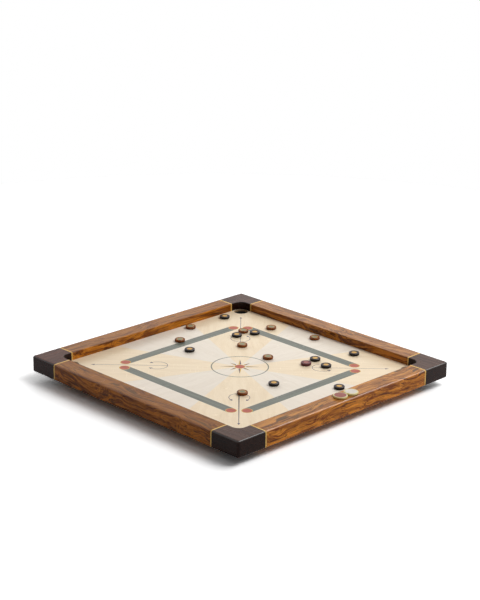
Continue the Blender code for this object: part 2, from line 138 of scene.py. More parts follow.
class Bench:
    """Sets out shader nodes in one tree and joins them."""

    def __init__(self, tree: bpy.types.NodeTree) -> None:
        """Starts on a material's, a world's or a group's own tree."""
        self.tree = tree

    def feed(self, node: bpy.types.Node, values: dict) -> None:
        """Feeds a node.

        Args:
            node: the node.
            values: a socket to join, or a plain value, for each input by its name or number.
        """
        for key, value in values.items():
            socket = node.inputs[key]
            if isinstance(value, Socket):
                self.tree.links.new(value, socket)
            else:
                socket.default_value = (*value, 1.0) if socket.type == "RGBA" else value

    def add(self, kind: str, values: dict | None = None, **settings: object) -> bpy.types.Node:
        """Adds a node.

        Args:
            kind: the node's type, without the ShaderNode in front.
            values: what feeds it.
            **settings: the node's own properties.

        Returns:
            The node.
        """
        node = self.tree.nodes.new("ShaderNode" + kind)
        for name, value in settings.items():
            setattr(node, name, value)
        self.feed(node, values or {})
        return node

    def math(self, operation: str, *values: object) -> Socket:
        """Works out a number, with the Math node's operation of that name."""
        return self.add("Math", dict(enumerate(values)), operation=operation).outputs[0]

    def times(self, first: object, second: object) -> Socket:
        """The product of two numbers."""
        return self.math("MULTIPLY", first, second)

    def plus_times(self, base: object, value: object, share: object) -> Socket:
        """A number with a share of another value added."""
        return self.math("MULTIPLY_ADD", value, share, base)

    def rest(self, value: Socket) -> Socket:
        """What a value from 0 to 1 leaves of 1."""
        return self.math("SUBTRACT", 1.0, value)

    def centred(self, value: Socket) -> Socket:
        """A value from 0 to 1, moved to lie about 0."""
        return self.math("SUBTRACT", value, 0.5)

    def vector(self, operation: str, *values: object) -> Socket:
        """Works out a vector or its measure, with the Vector Math node's operation of that name."""
        node = self.add("VectorMath", dict(enumerate(values)), operation=operation)
        return node.outputs["Value" if operation in MEASURES else "Vector"]

    def part(self, vector: Socket, axis: int) -> Socket:
        """A vector's x, y or z, for the axis 0, 1 or 2."""
        return self.add("SeparateXYZ", {0: vector}).outputs[axis]

    def spot(self) -> Socket:
        """The point in the board's own frame."""
        return self.add("TexCoord").outputs["Object"]

    def normal(self) -> Socket:
        """The true way that the surface faces."""
        return self.add("NewGeometry").outputs["Normal"]

    def mix(self, factor: object, first: object, second: object) -> Socket:
        """Mixes two colours, where the factor is how much of the second one shows."""
        return self.add("Mix", {0: factor, 6: first, 7: second}, data_type="RGBA").outputs[2]

    def band(self, value: Socket, low: float, high: float) -> Socket:
        """A smooth rise from 0 to 1 while a value goes from low to high."""
        reach = {0: value, 1: low, 2: high}
        return self.add("MapRange", reach, interpolation_type="SMOOTHSTEP").outputs[0]

    def scaled(self, value: Socket, low: object, high: object) -> Socket:
        """A value from 0 to 1 spread over low to high."""
        return self.add("MapRange", {0: value, 3: low, 4: high}).outputs[0]

    def noise(
        self, place: Socket, scale: float | Triple, detail: float = 3.0, rough: float = 0.5
    ) -> Socket:
        """Cloudy noise from 0 to 1.

        Args:
            place: the point's vector.
            scale: how many clouds there are to the metre, alike or along x, y and z.
            detail: how many finer layers are added.
            rough: how strong the finer layers are.

        Returns:
            The noise's socket.
        """
        if isinstance(scale, tuple):
            place, scale = self.vector("MULTIPLY", place, scale), 1.0
        values = {"Vector": place, "Scale": scale, "Detail": detail, "Roughness": rough}
        return self.add("TexNoise", values).outputs[0]

    def bump(self, height: Socket, strength: float, distance: float) -> Socket:
        """The way that a surface faces once a height has roughened it."""
        values = {"Strength": strength, "Distance": distance, "Height": height}
        return self.add("Bump", values).outputs[0]


class EffectGroup:
    """A node group of masks and values that several finishes place with their own inputs.

    Each input has its usual number, or None where it is a vector. Each output is a number.
    """

    title = "effect"
    inputs: dict[str, float | None] = {}
    outputs: tuple[str, ...] = ()

    def tree(self) -> bpy.types.NodeTree:
        """Builds the group once and gives the same one after that.

        Returns:
            The group's tree.
        """
        found = bpy.data.node_groups.get(self.title)
        if found:
            return found
        tree = bpy.data.node_groups.new(self.title, "ShaderNodeTree")
        for name, value in self.inputs.items():
            kind = "NodeSocketVector" if value is None else "NodeSocketFloat"
            socket = tree.interface.new_socket(name, in_out="INPUT", socket_type=kind)
            if value is not None:
                socket.default_value = value
        for name in self.outputs:
            tree.interface.new_socket(name, in_out="OUTPUT", socket_type="NodeSocketFloat")
        bench = Bench(tree)
        given = tree.nodes.new("NodeGroupInput").outputs
        result = tree.nodes.new("NodeGroupOutput")
        bench.feed(result, self.build(bench, {name: given[name] for name in self.inputs}))
        return tree

    def build(self, bench: Bench, given: dict[str, Socket]) -> dict[str, Socket]:
        """Sets out the nodes from the input sockets and gives a socket for each output."""
        raise NotImplementedError

    def place(self, bench: Bench, values: dict[str, object]) -> dict[str, Socket]:
        """Places the group on a material's bench and gives its output sockets by name."""
        return dict(bench.add("Group", values, node_tree=self.tree()).outputs.items())


class TimberFigure(EffectGroup):
    """Flowing bands, dark veins, growth lines, fibre and pores, swept round a knot.

    The grain runs along x, and each stretch is the number of clouds to the metre in x, y and z.
    """

    title = "timber_figure"
    inputs = {"Vector": None, "Band Width": 0.012, "Wander": 0.010, "Knot": None, "Knot Push": 0.0}
    outputs = ("Bands", "Veins", "Lines", "Streaks", "Fibre", "Pores")
    slow_stretch = (4.2, 9.0, 9.0)
    quick_stretch = (13.0, 24.0, 24.0)
    quick_share = 0.35
    sway_detail = 1.5
    knot_shape = (0.55, 1.0, 1.0)
    knot_reach = 0.05
    bend_down = 0.8
    band_stretch = 6.0
    band_rough = 0.55
    band_limits = (0.34, 0.66)
    vein_shift = (3.7, 8.1, 5.3)
    vein_scale = 1.15
    vein_detail = 4.0
    vein_rough = 0.62
    line_down = 0.72
    line_turns = 2.6 * math.tau
    line_sway = 9.0
    streak_stretch = (9.0, 330.0, 330.0)
    streak_detail = 2.5
    streak_rough = 0.6
    streak_limits = (0.36, 0.66)
    fibre_stretch = (26.0, 900.0, 900.0)
    fibre_detail = 2.0
    pore_stretch = (70.0, 1500.0, 1500.0)
    pore_detail = 1.0
    pore_limits = (0.60, 0.72)

    def build(self, bench: Bench, given: dict[str, Socket]) -> dict[str, Socket]:
        """Sets out the figure.

        Args:
            bench: the group's bench.
            given: the group's input sockets by name.

        Returns:
            Bands, veins, growth lines, streaks, fibre and pores, each from 0 to 1.
        """
        place = given["Vector"]
        slow, quick = (
            bench.centred(bench.noise(place, stretch, self.sway_detail))
            for stretch in (self.slow_stretch, self.quick_stretch)
        )
        swing = bench.times(bench.plus_times(slow, quick, self.quick_share), given["Wander"])
        away = bench.vector("SUBTRACT", place, given["Knot"])
        away = bench.vector("LENGTH", bench.vector("MULTIPLY", away, self.knot_shape))
        near = bench.math("DIVIDE", away, self.knot_reach)
        pull = bench.math("EXPONENT", bench.times(bench.times(near, near), -1.0))
        side = bench.plus_times(swing, pull, given["Knot Push"])
        bend = bench.add("CombineXYZ", {1: side, 2: bench.times(side, self.bend_down)})
        bent = bench.vector("ADD", place, bend.outputs[0])
        close = bench.math("DIVIDE", 1.0, given["Band Width"])
        spread = bench.add("CombineXYZ", {0: self.band_stretch, 1: close, 2: close}).outputs[0]
        banded = bench.vector("MULTIPLY", bent, spread)
        bands = bench.noise(banded, 1.0, rough=self.band_rough)
        shifted = bench.vector("ADD", banded, self.vein_shift)
        veins = bench.noise(shifted, self.vein_scale, self.vein_detail, self.vein_rough)
        depth = bench.plus_times(bench.part(bent, 1), bench.part(bent, 2), self.line_down)
        turns = bench.times(bench.times(depth, close), self.line_turns)
        lines = bench.math("SINE", bench.plus_times(turns, bands, self.line_sway))
        streaks = bench.noise(bent, self.streak_stretch, self.streak_detail, self.streak_rough)
        pores = bench.noise(bent, self.pore_stretch, self.pore_detail)
        return {
            "Bands": bench.band(bands, *self.band_limits),
            "Veins": veins,
            "Lines": bench.plus_times(0.5, lines, 0.5),
            "Streaks": bench.band(streaks, *self.streak_limits),
            "Fibre": bench.noise(bent, self.fibre_stretch, self.fibre_detail),
            "Pores": bench.band(pores, *self.pore_limits),
        }


class HandPolish(EffectGroup):
    """Uneven gloss: faint rubbed clouds and hairline marks."""

    title = "hand_polish"
    inputs = {"Vector": None, "Gloss": 0.35, "Spread": 0.08}
    outputs = ("Roughness",)
    cloud_scale = 26.0
    mark_stretch = (520.0, 24.0, 90.0)
    mark_detail = 1.0
    mark_limits = (0.66, 0.74)
    mark_lift = 0.05

    def build(self, bench: Bench, given: dict[str, Socket]) -> dict[str, Socket]:
        """Sets out the polish.

        Args:
            bench: the group's bench.
            given: the group's input sockets by name.

        Returns:
            The roughness.
        """
        place = given["Vector"]
        clouds = bench.centred(bench.noise(place, self.cloud_scale))
        marks = bench.noise(place, self.mark_stretch, self.mark_detail)
        marks = bench.band(marks, *self.mark_limits)
        rough = bench.plus_times(given["Gloss"], bench.times(clouds, given["Spread"]), 2.0)
        return {"Roughness": bench.plus_times(rough, marks, self.mark_lift)}


class EdgeWear(EffectGroup):
    """Finds the edges that hands and cloths have rubbed, the upward faces that take a painted sheen,
    and the polished arrises.
    """

    title = "wear_and_sheen_masks"
    inputs = {"Vector": None, "Reach": 0.0015}
    outputs = ("Wear", "Tops", "Arris")
    bevel_samples = 4
    edge_limits = (0.12, 0.55)
    patch_scale = 60.0
    patch_limits = (0.35, 0.7)
    top_limits = (0.80, 0.97)
    arris_from = (0.45, 0.62)
    arris_to = (0.80, 0.92)

    def build(self, bench: Bench, given: dict[str, Socket]) -> dict[str, Socket]:
        """Sets out the wear: where a rounded normal leaves the true one, broken up by noise.

        Args:
            bench: the group's bench.
            given: the group's input sockets by name.

        Returns:
            The wear, the upward faces where a painted sheen goes, and the rounded edges between top
            and side, from 0 to 1.
        """
        reach, true = {"Radius": given["Reach"]}, bench.normal()
        rounded = bench.add("Bevel", reach, samples=self.bevel_samples).outputs[0]
        edge = bench.band(bench.vector("DISTANCE", rounded, true), *self.edge_limits)
        patchy = bench.band(bench.noise(given["Vector"], self.patch_scale), *self.patch_limits)
        rise = bench.part(true, 2)
        steep = bench.rest(bench.band(rise, *self.arris_to))
        return {
            "Wear": bench.times(edge, patchy),
            # Tops: the upward faces, where finishes mix in a painted sheen
            "Tops": bench.band(rise, *self.top_limits),
            "Arris": bench.times(bench.band(rise, *self.arris_from), steep),
        }


# ---- finishes


def seed_shift(seed: float) -> Vector:
    """How far a seed shifts a figure, so that no two pieces match."""
    return Vector([share * seed for share in SHIFT_SHARES])


def fan_place(bench: Bench, place: Socket) -> Socket:
    """Turns the grain of each veneer of the fan outward from the board's middle.

    Args:
        bench: the material's bench.
        place: the point's vector socket.

    Returns:
        The point in its own veneer, with x along the grain.
    """
    step = math.tau / VENEERS
    turn = bench.math("ARCTAN2", bench.part(place, 1), bench.part(place, 0))
    number = bench.math("ROUND", bench.math("DIVIDE", turn, step))
    values = {"Vector": place, "Angle": bench.times(number, -step)}
    spun = bench.add("VectorRotate", values, rotation_type="Z_AXIS").outputs[0]
    shift = bench.add("CombineXYZ", {0: bench.times(number, VENEER_SHIFT)}).outputs[0]
    return bench.vector("ADD", spun, shift)


def grain_place(bench: Bench, grain: Grain, seed: float) -> Socket:
    """Gives the point on a piece with x along its grain.

    Args:
        bench: the material's bench.
        grain: the way that the grain runs.
        seed: the figure's shift, so that no two pieces match.

    Returns:
        The point's vector socket.
    """
    place = fan_place(bench, bench.spot()) if grain is Grain.FAN else bench.spot()
    values = {"Vector": place, "Location": seed_shift(seed), "Rotation": (0, 0, grain.turn)}
    return bench.add("Mapping", values).outputs[0]


def new_material(
    name: str, seed: float | None = None
) -> tuple[Material, Bench, bpy.types.Node]:
    """Makes a material with its plain shader.

    Args:
        name: the finish's name.
        seed: the figure's shift, which ends the name of a material that only one piece has.

    Returns:
        The material, its bench and its Principled shader.
    """
    ending = "" if seed is None else f"_{abs(seed):.2f}".replace(".", "_")
    material = bpy.data.materials.new(name + ending)
    material.use_nodes = True
    shader = material.node_tree.nodes["Principled BSDF"]
    return material, Bench(material.node_tree), shader


def toned(colour: Colour, gain: float, lift: float = 0.0) -> Colour:
    """A colour made lighter or darker by a gain and a lift, and no lighter than white."""
    return tuple(min(1.0, gain * part + lift) for part in colour)


@dataclass(frozen=True)
class TimberFinish:
    """A lacquered timber with its figure, pores, rubbed edges and gloss, and a painted sheen on its
    upward faces.
    """

    name: str
    pale: Colour
    deep: Colour
    vein: Colour
    band_width: float = 0.012
    wander: float = 0.020
    band_share: float = 0.80
    line_share: float = 0.16
    streak_share: float = 0.10
    fibre_share: float = 0.16
    vein_limits: Span = (0.52, 0.64)
    vein_share: float = 0.85
    pore_share: float = 0.25
    pore_depth: float = 0.7
    gloss: float = 0.26
    ior: float = 1.24
    bump: float = 0.12
    bump_height: float = 0.0002
    knot_push: float = 0.0
    wear_share: float = 0.25
    worn_gain: float = 1.25
    worn_lift: float = 0.02
    # top: a paler colour mixed into the upward faces, a painted sheen; the share after it sets how
    # much
    top: Colour = (0.0, 0.0, 0.0)
    sheen_share: float = 0.0
    sheen_on_deep: float = 0.45
    arris_share: float = 0.0
    arris_gloss: float = 0.08

    def material(
        self,
        grain: Grain,
        seed: float,
        knot: Triple = (0.0, 0.0, 0.0),
        tone: Triple = (1.0, 1.0, 1.0),
    ) -> Material:
        """Makes the timber for one piece.

        Args:
            grain: the way that the grain runs.
            seed: the figure's shift, so that no two pieces match.
            knot: where the bands sweep round a knot, in the board's own place.
            tone: how light the piece is beside the timber's usual red, green and blue.

        Returns:
            The material.
        """
        material, bench, shader = new_material(self.name, seed)
        place = grain_place(bench, grain, seed)
        eye = Matrix.Rotation(grain.turn, 3, "Z") @ Vector(knot) + seed_shift(seed)
        own = {"Band Width": self.band_width, "Wander": self.wander, "Knot Push": self.knot_push}
        figure = TimberFigure().place(bench, {"Vector": place, "Knot": eye, **own})
        pale, deep, vein = (
            tuple(share * part for share, part in zip(tone, colour))
            for colour in (self.pale, self.deep, self.vein)
        )
        lines = bench.times(bench.centred(figure["Lines"]), self.line_share)
        fibre = bench.times(bench.centred(figure["Fibre"]), 2.0 * self.fibre_share)
        depth = bench.plus_times(lines, figure["Bands"], self.band_share)
        depth = bench.plus_times(depth, figure["Streaks"], self.streak_share)
        depth = bench.add("Clamp", {0: bench.math("ADD", depth, fibre)}).outputs[0]
        wood = bench.mix(depth, pale, deep)
        veins = bench.band(figure["Veins"], *self.vein_limits)
        wood = bench.mix(bench.times(veins, self.vein_share), wood, vein)
        wood = bench.mix(bench.times(figure["Pores"], self.pore_share), wood, vein)
        wear_and_sheen = EdgeWear().place(bench, {"Vector": place})
        # Painted sheen: the upward faces are mixed toward the paler top colour, less on the deep
        # bands
        painted_sheen = bench.scaled(depth, self.sheen_share, self.sheen_on_deep * self.sheen_share)
        wood = bench.mix(bench.times(wear_and_sheen["Tops"], painted_sheen), wood, self.top)
        rubbed = toned(pale, self.worn_gain, self.worn_lift)
        wood = bench.mix(bench.times(wear_and_sheen["Wear"], self.wear_share), wood, rubbed)
        height = bench.plus_times(figure["Fibre"], figure["Pores"], -self.pore_depth)
        bump = bench.bump(height, self.bump, self.bump_height)
        polish = HandPolish().place(bench, {"Vector": place, "Gloss": self.gloss})
        bench.feed(shader, {"Base Color": wood, "Normal": bump, "IOR": self.ior, **polish})
        if self.arris_share:
            coat = bench.times(wear_and_sheen["Arris"], self.arris_share)
            bench.feed(shader, {"Coat Weight": coat, "Coat Roughness": self.arris_gloss})
        return material


@dataclass(frozen=True)
class MouldedFinish:
    """A moulded or painted surface with faint mottling, marks and rubbed edges."""

    name: str
    body: Colour
    mottle: Colour
    gloss: float = 0.35
    ior: float = 1.45
    mottle_scale: float = 90.0
    mottle_detail: float = 4.0
    mottle_limits: Span = (0.35, 0.7)
    mottle_share: float = 0.5
    wear_share: float = 0.15
    wear_reach: float = 0.0006
    worn_gain: float = 1.3
    worn_lift: float = 0.03
    spread: float = 0.05
    grain_scale: float = 2400.0
    grain_detail: float = 2.0
    bump: float = 0.06
    bump_height: float = 0.0001

    def material(self, grain: Grain = Grain.ALONG_X, seed: float = 0.0) -> Material:
        """Makes the finish for one piece.

        Args:
            grain: the way that the marks run.
            seed: the mottling's shift.

        Returns:
            The material.
        """
        material, bench, shader = new_material(self.name, seed)
        place = grain_place(bench, grain, seed)
        mottle = bench.noise(place, self.mottle_scale, self.mottle_detail)
        mottle = bench.band(mottle, *self.mottle_limits)
        colour = bench.mix(bench.times(mottle, self.mottle_share), self.body, self.mottle)
        wear = EdgeWear().place(bench, {"Vector": place, "Reach": self.wear_reach})["Wear"]
        rubbed = toned(self.body, self.worn_gain, self.worn_lift)
        colour = bench.mix(bench.times(wear, self.wear_share), colour, rubbed)
        polish = {"Vector": place, "Gloss": self.gloss, "Spread": self.spread}
        fine = bench.noise(place, self.grain_scale, self.grain_detail)
        bump = bench.bump(fine, self.bump, self.bump_height)
        own = {"Base Color": colour, "Normal": bump, "IOR": self.ior}
        bench.feed(shader, {**own, **HandPolish().place(bench, polish)})
        return material


@dataclass(frozen=True)
class MetalFinish:
    """The screws' plated steel, with tarnish and hairline marks."""

    name: str = "zinc_plated_steel"
    body: Colour = (0.560, 0.560, 0.570)
    gloss: float = 0.32
    spread: float = 0.1
    dark_gain: float = 0.6
    tarnish_scale: float = 300.0
    tarnish_limits: Span = (0.45, 0.75)
    tarnish_share: float = 0.5

    def material(self) -> Material:
        """Makes the metal.

        Returns:
            The material.
        """
        material, bench, shader = new_material(self.name)
        place = bench.spot()
        polish = {"Vector": place, "Gloss": self.gloss, "Spread": self.spread}
        tarnish = bench.band(bench.noise(place, self.tarnish_scale), *self.tarnish_limits)
        share = bench.times(tarnish, self.tarnish_share)
        colour = bench.mix(share, self.body, toned(self.body, self.dark_gain))
        own = {"Base Color": colour, "Metallic": 1.0}
        bench.feed(shader, {**own, **HandPolish().place(bench, polish)})
        return material


@dataclass(frozen=True)
class PlywoodFinish:
    """Plywood: a pale face, thin plies in every cut edge, and near black low in each pocket hole's
    wall.
    """

    name: str = "birch_plywood"
    face: Colour = (0.600, 0.420, 0.230)
    dark_ply: Colour = (0.330, 0.190, 0.085)
    paint: Colour = (0.006, 0.006, 0.006)
    ply: float = 0.0013
    paint_top: float = 0.0395
    hole_place: float = 0.34775
    hole_reach: float = 0.0228
    seed: float = 3.1
    band_width: float = 0.03
    wander: float = 0.05
    ply_limits: Span = (-0.2, 0.2)
    face_limits: Span = (0.3, 0.7)
    band_share: float = 0.3
    fibre_share: float = 0.25
    dark_edge_scale: float = 130.0
    dark_edge_detail: float = 2.0
    dark_edge_depth: float = 0.0012
    bump: float = 0.2
    bump_height: float = 0.0002
    gloss: Span = (0.55, 0.75)

    def material(self) -> Material:
        """Makes the plywood.

        Returns:
            The material.
        """
        material, bench, shader = new_material(self.name)
        place = grain_place(bench, Grain.ALONG_Y, self.seed)
        own = {"Vector": place, "Band Width": self.band_width, "Wander": self.wander}
        figure = TimberFigure().place(bench, own)
        spot = bench.spot()
        height = bench.part(spot, 2)
        turns = bench.times(height, math.tau / (2 * self.ply))
        plies = bench.band(bench.math("SINE", turns), *self.ply_limits)
        facing = bench.math("ABSOLUTE", bench.part(bench.normal(), 2))
        edge = bench.rest(bench.band(facing, *self.face_limits))
        share = bench.times(figure["Bands"], self.band_share)
        colour = bench.mix(share, self.face, self.dark_ply)
        colour = bench.mix(bench.times(plies, edge), colour, self.dark_ply)
        fibre = bench.times(figure["Fibre"], self.fibre_share)
        colour = bench.mix(fibre, colour, self.dark_ply)
        # Low in each pocket hole the wall is coloured near black, below a ragged line
        flat = bench.vector("MULTIPLY", bench.vector("ABSOLUTE", spot), (1.0, 1.0, 0.0))
        away = bench.vector("DISTANCE", flat, (self.hole_place, self.hole_place, 0.0))
        inside = bench.math("LESS_THAN", away, self.hole_reach)
        dark_edge_noise = bench.noise(place, self.dark_edge_scale, self.dark_edge_detail)
        dark_edge = bench.plus_times(self.paint_top, dark_edge_noise, -self.dark_edge_depth)
        painted = bench.times(inside, bench.math("LESS_THAN", height, dark_edge))
        colour = bench.mix(painted, colour, self.paint)
        bump = bench.bump(figure["Fibre"], self.bump, self.bump_height)
        rough = bench.scaled(figure["Fibre"], *self.gloss)
        bench.feed(shader, {"Base Color": colour, "Roughness": rough, "Normal": bump})
        return material


def stained(name: str, pale: Colour, deep: float = 0.78, vein: float = 0.58) -> TimberFinish:
    """Gives a thin stained veneer that is let into the field, from its lightest colour."""
    own = {"band_width": 0.005, "vein_share": 0.5, "gloss": 0.24, "bump": 0.03, "wear_share": 0.0}
    return TimberFinish(name, pale, toned(pale, deep), toned(pale, vein), **own)


def let_in(name: str, pale: Colour, deep: float = 0.78, vein: float = 0.55) -> TimberFinish:
    """Gives the small wooden disc in a man's top, from its lightest colour."""
    own = {"band_width": 0.003, "vein_share": 0.5, "gloss": 0.30}
    return TimberFinish(name, pale, toned(pale, deep), toned(pale, vein), **own)


ROSEWOOD = TimberFinish(
    "rosewood", (0.580, 0.220, 0.024), (0.140, 0.036, 0.006), (0.048, 0.013, 0.005),
    wander=0.075, band_share=0.72, line_share=0.22, streak_share=0.36,
    knot_push=0.040, gloss=0.24, ior=1.22, arris_share=1.0,
)
# The top colour of ebony and warm ebony is a painted sheen on the blocks' upward faces
EBONY = TimberFinish(
    "ebony", (0.028, 0.010, 0.006), (0.013, 0.004, 0.003), (0.004, 0.002, 0.002),
    band_width=0.006, gloss=0.26, ior=1.22, wear_share=0.4,
    top=(0.108, 0.054, 0.038), sheen_share=0.95, arris_share=0.8,
)
WARM_EBONY = replace(
    EBONY, name="warm_ebony", pale=(0.040, 0.012, 0.010), top=(0.110, 0.036, 0.020)
)
BOXWOOD = TimberFinish(
    "boxwood", (0.880, 0.570, 0.170), (0.760, 0.440, 0.110), (0.500, 0.260, 0.060),
    band_width=0.003, vein_share=0.3, pore_share=0.1,
)
CREAM_VENEER = TimberFinish(
    "cream_veneer", (0.895, 0.745, 0.540), (0.815, 0.655, 0.450), (0.730, 0.560, 0.355),
    band_width=0.016, wander=0.060, band_share=0.6, fibre_share=0.4, vein_limits=(0.56, 0.72),
    vein_share=0.45, pore_share=0.08, gloss=0.24, bump=0.03, wear_share=0.0,
)
PALE_VENEER = replace(
    CREAM_VENEER, name="pale_veneer", pale=(0.845, 0.760, 0.650), deep=(0.790, 0.700, 0.585),
    vein=(0.710, 0.615, 0.500), vein_share=0.4,
)
BEECH = TimberFinish(
    "beech", (0.560, 0.370, 0.200), (0.470, 0.290, 0.145), (0.360, 0.200, 0.090),
    vein_share=0.3, gloss=0.5, ior=1.4, wear_share=0.1,
)
STAIN_SLATE = stained("slate_stained_veneer", (0.200, 0.213, 0.178))
STAIN_RED = stained("red_stained_veneer", (0.520, 0.120, 0.075))
STAIN_VIOLET = stained("violet_stained_veneer", (0.105, 0.085, 0.140))
STAIN_GOLD = stained("gold_stained_veneer", (0.720, 0.440, 0.090))
GOLD_INLAY = let_in("gold_inlay", (0.720, 0.410, 0.095))
GREEN_INLAY = let_in("pale_green_inlay", (0.240, 0.260, 0.150))
PINK_INLAY = let_in("pink_inlay", (0.400, 0.130, 0.110))
TAN_INLAY = let_in("tan_inlay", (0.560, 0.290, 0.080))
# The top colour is painted light: the men's upward faces are made lighter than their sides
BLACK_MAN = TimberFinish(
    "black_turned_wood", (0.013, 0.008, 0.007), (0.006, 0.004, 0.004), (0.003, 0.002, 0.002),
    band_width=0.004, gloss=0.28, ior=1.26, wear_share=0.4,
    top=(0.045, 0.020, 0.022), sheen_share=0.8, arris_share=1.0,
)
BROWN_MAN = TimberFinish(
    "brown_turned_wood", (0.300, 0.082, 0.006), (0.140, 0.034, 0.004), (0.055, 0.013, 0.003),
    band_width=0.004, gloss=0.22, ior=1.22, arris_share=0.6,
)
PURPLE_MAN = TimberFinish(
    "purple_turned_wood", (0.140, 0.020, 0.024), (0.080, 0.011, 0.015), (0.035, 0.005, 0.008),
    band_width=0.004, gloss=0.28, ior=1.35,
)
PALE_IVORY = MouldedFinish("pale_ivory", (0.810, 0.690, 0.290), (0.730, 0.600, 0.230), 0.26)
CREAM_DISC = MouldedFinish("cream_disc", (0.680, 0.625, 0.540), (0.560, 0.500, 0.420), 0.26)
ROSE_DISC = MouldedFinish("rose_disc", (0.320, 0.090, 0.068), (0.250, 0.066, 0.052), 0.26, 1.25)
POCKET_BLACK = MouldedFinish("pocket_black", (0.010, 0.010, 0.011), (0.018, 0.018, 0.019), 0.62)
FOOT_BLACK = MouldedFinish("foot_black", (0.014, 0.013, 0.013), (0.028, 0.025, 0.023), 0.55)


# ---- meshes


def arc(centre: Point, radius: float, start: float, end: float, steps: int) -> Outline:
    """Gives the points of an arc.

    Args:
        centre: the arc's centre.
        radius: the arc's radius.
        start: the first point's turn, in degrees.
        end: the last point's turn, in degrees.
        steps: how many chords the arc has.

    Returns:
        The points, both ends included.
    """
    points = []
    for step in range(steps + 1):
        turn = math.radians(start + (end - start) * step / steps)
        points.append((centre[0] + radius * math.cos(turn), centre[1] + radius * math.sin(turn)))
    return points


def circle(centre: Point, radius: float, steps: int = 64) -> Outline:
    """Gives the points of a full circle, with no point twice."""
    return arc(centre, radius, 0.0, 360.0, steps)[:-1]


def spaced(low: float, high: float, count: int) -> list[float]:
    """Gives the middles of equal steps from low to high."""
    return [low + (high - low) * (number + 0.5) / count for number in range(count)]


def placed(name: str, data: bpy.types.ID) -> Piece:
    """Puts a mesh, a curve, a lamp or a camera in the scene as a piece of its own.

    Args:
        name: the piece's name.
        data: what the piece is made of.

    Returns:
        The piece.
    """
    data.name = name
    piece = bpy.data.objects.new(name, data)
    bpy.context.scene.collection.objects.link(piece)
    return piece


def written(work: bmesh.types.BMesh, mesh: Mesh) -> Mesh:
    """Writes a work mesh to a mesh and lets the work mesh go.

    Args:
        work: the work mesh.
        mesh: the mesh that takes it.

    Returns:
        The mesh.
    """
    work.to_mesh(mesh)
    work.free()
    return mesh


def weld(work: bmesh.types.BMesh) -> None:
    """Joins the points of a work mesh that meet and turns its faces outward."""
    bmesh.ops.remove_doubles(work, verts=work.verts, dist=WELD)
    bmesh.ops.recalc_face_normals(work, faces=work.faces)


def plate(name: str, outlines: list[Outline], low: float, high: float) -> Piece:
    """Makes a flat plate from closed outlines, where an outline inside another is a hole.

    Args:
        name: the piece's name.
        outlines: the closed outlines.
        low: the height of its underside.
        high: the height of its top.

    Returns:
        The plate.
    """
    curve = bpy.data.curves.new(name, "CURVE")
    curve.dimensions = "2D"
    curve.fill_mode = "BOTH"
    curve.extrude = (high - low) / 2
    for outline in outlines:
        spline = curve.splines.new("POLY")
        spline.points.add(len(outline) - 1)
        for point, (x, y) in zip(spline.points, outline):
            point.co = (x, y, 0.0, 1.0)
        spline.use_cyclic_u = True
    flat = placed(name + "_outline", curve)
    bpy.context.view_layer.update()
    seen = flat.evaluated_get(bpy.context.evaluated_depsgraph_get())
    mesh = bpy.data.meshes.new_from_object(seen)
    bpy.data.objects.remove(flat)
    mesh.transform(Matrix.Translation((0.0, 0.0, (low + high) / 2)))
    work = bmesh.new()
    work.from_mesh(mesh)
    weld(work)
    return placed(name, written(work, mesh))


def turned(name: str, profile: list[Point], steps: int = 56) -> Piece:
    """Makes a piece turned about its upright axis, smooth round and sharp at its corners.

    Args:
        name: the piece's name.
        profile: radius and height from the top centre down the outer side to the bottom centre.
        steps: how many facets go round.

    Returns:
        The piece.
    """
    work = bmesh.new()
    made = [work.verts.new((radius, 0.0, height)) for radius, height in profile]
    edges = [work.edges.new(pair) for pair in zip(made, made[1:])]
    bmesh.ops.spin(
        work, geom=made + edges, cent=(0, 0, 0), axis=(0, 0, 1), angle=math.tau, steps=steps
    )
    weld(work)
    mesh = written(work, bpy.data.meshes.new(name))
    mesh.shade_smooth()
    mesh.set_sharp_from_angle(angle=SHARP_EDGE)
    return placed(name, mesh)


def dress(piece: Piece, *materials: Material) -> Piece:
    """Gives a piece its materials in place of any that it has.

    Args:
        piece: the piece.
        *materials: the materials, in the order of its slots.

    Returns:
        The piece.
    """
    piece.data.materials.clear()
    for material in materials:
        piece.data.materials.append(material)
    return piece


def dress_node(node: str, material: Material) -> None:
    """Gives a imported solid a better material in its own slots.

    Args:
        node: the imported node's name.
        material: the material.
    """
    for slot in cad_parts[node].material_slots:
        slot.material = material
    LOG.info("dressed %s in %s", node, material.name)


def seat(piece: Piece, body: str, slot: str) -> None:
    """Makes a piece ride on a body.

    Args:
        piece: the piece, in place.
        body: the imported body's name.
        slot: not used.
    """
    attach(piece, body)
    LOG.info("made %s on %s", piece.name, body)


# ---- the frame


@dataclass(frozen=True)
class Plank:
    """What sets one rail's plank apart: its figure's shift, its knot, its tone, which is partly
    painted light, and its top colour, a painted sheen.
    """

    seed: float
    knot: Triple
    tone: Triple
    top: Colour
    sheen_share: float


# The tones are partly each plank's own colour and partly painted light: the right and left rails,
# whose faces turn to the lamp, are lightened as a whole. Each top colour is a painted sheen on the
# rail's upward faces.
PLANKS = {
    Side.RIGHT: Plank(
        1.30, (0.420, 0.270, 0.040), (1.50, 1.45, 1.55), (0.130, 0.155, 0.090), 0.34
    ),
    Side.FRONT: Plank(
        2.70, (-0.180, -0.425, 0.060), (0.99, 0.85, 0.68), (0.164, 0.075, 0.004), 0.60
    ),
    Side.LEFT: Plank(
        4.10, (-0.400, -0.100, 0.065), (1.20, 1.14, 0.90), (0.158, 0.084, 0.034), 0.62
    ),
    Side.BACK: Plank(
        5.90, (0.120, 0.400, 0.068), (1.06, 1.02, 1.10), (0.350, 0.215, 0.118), 0.50
    ),
}


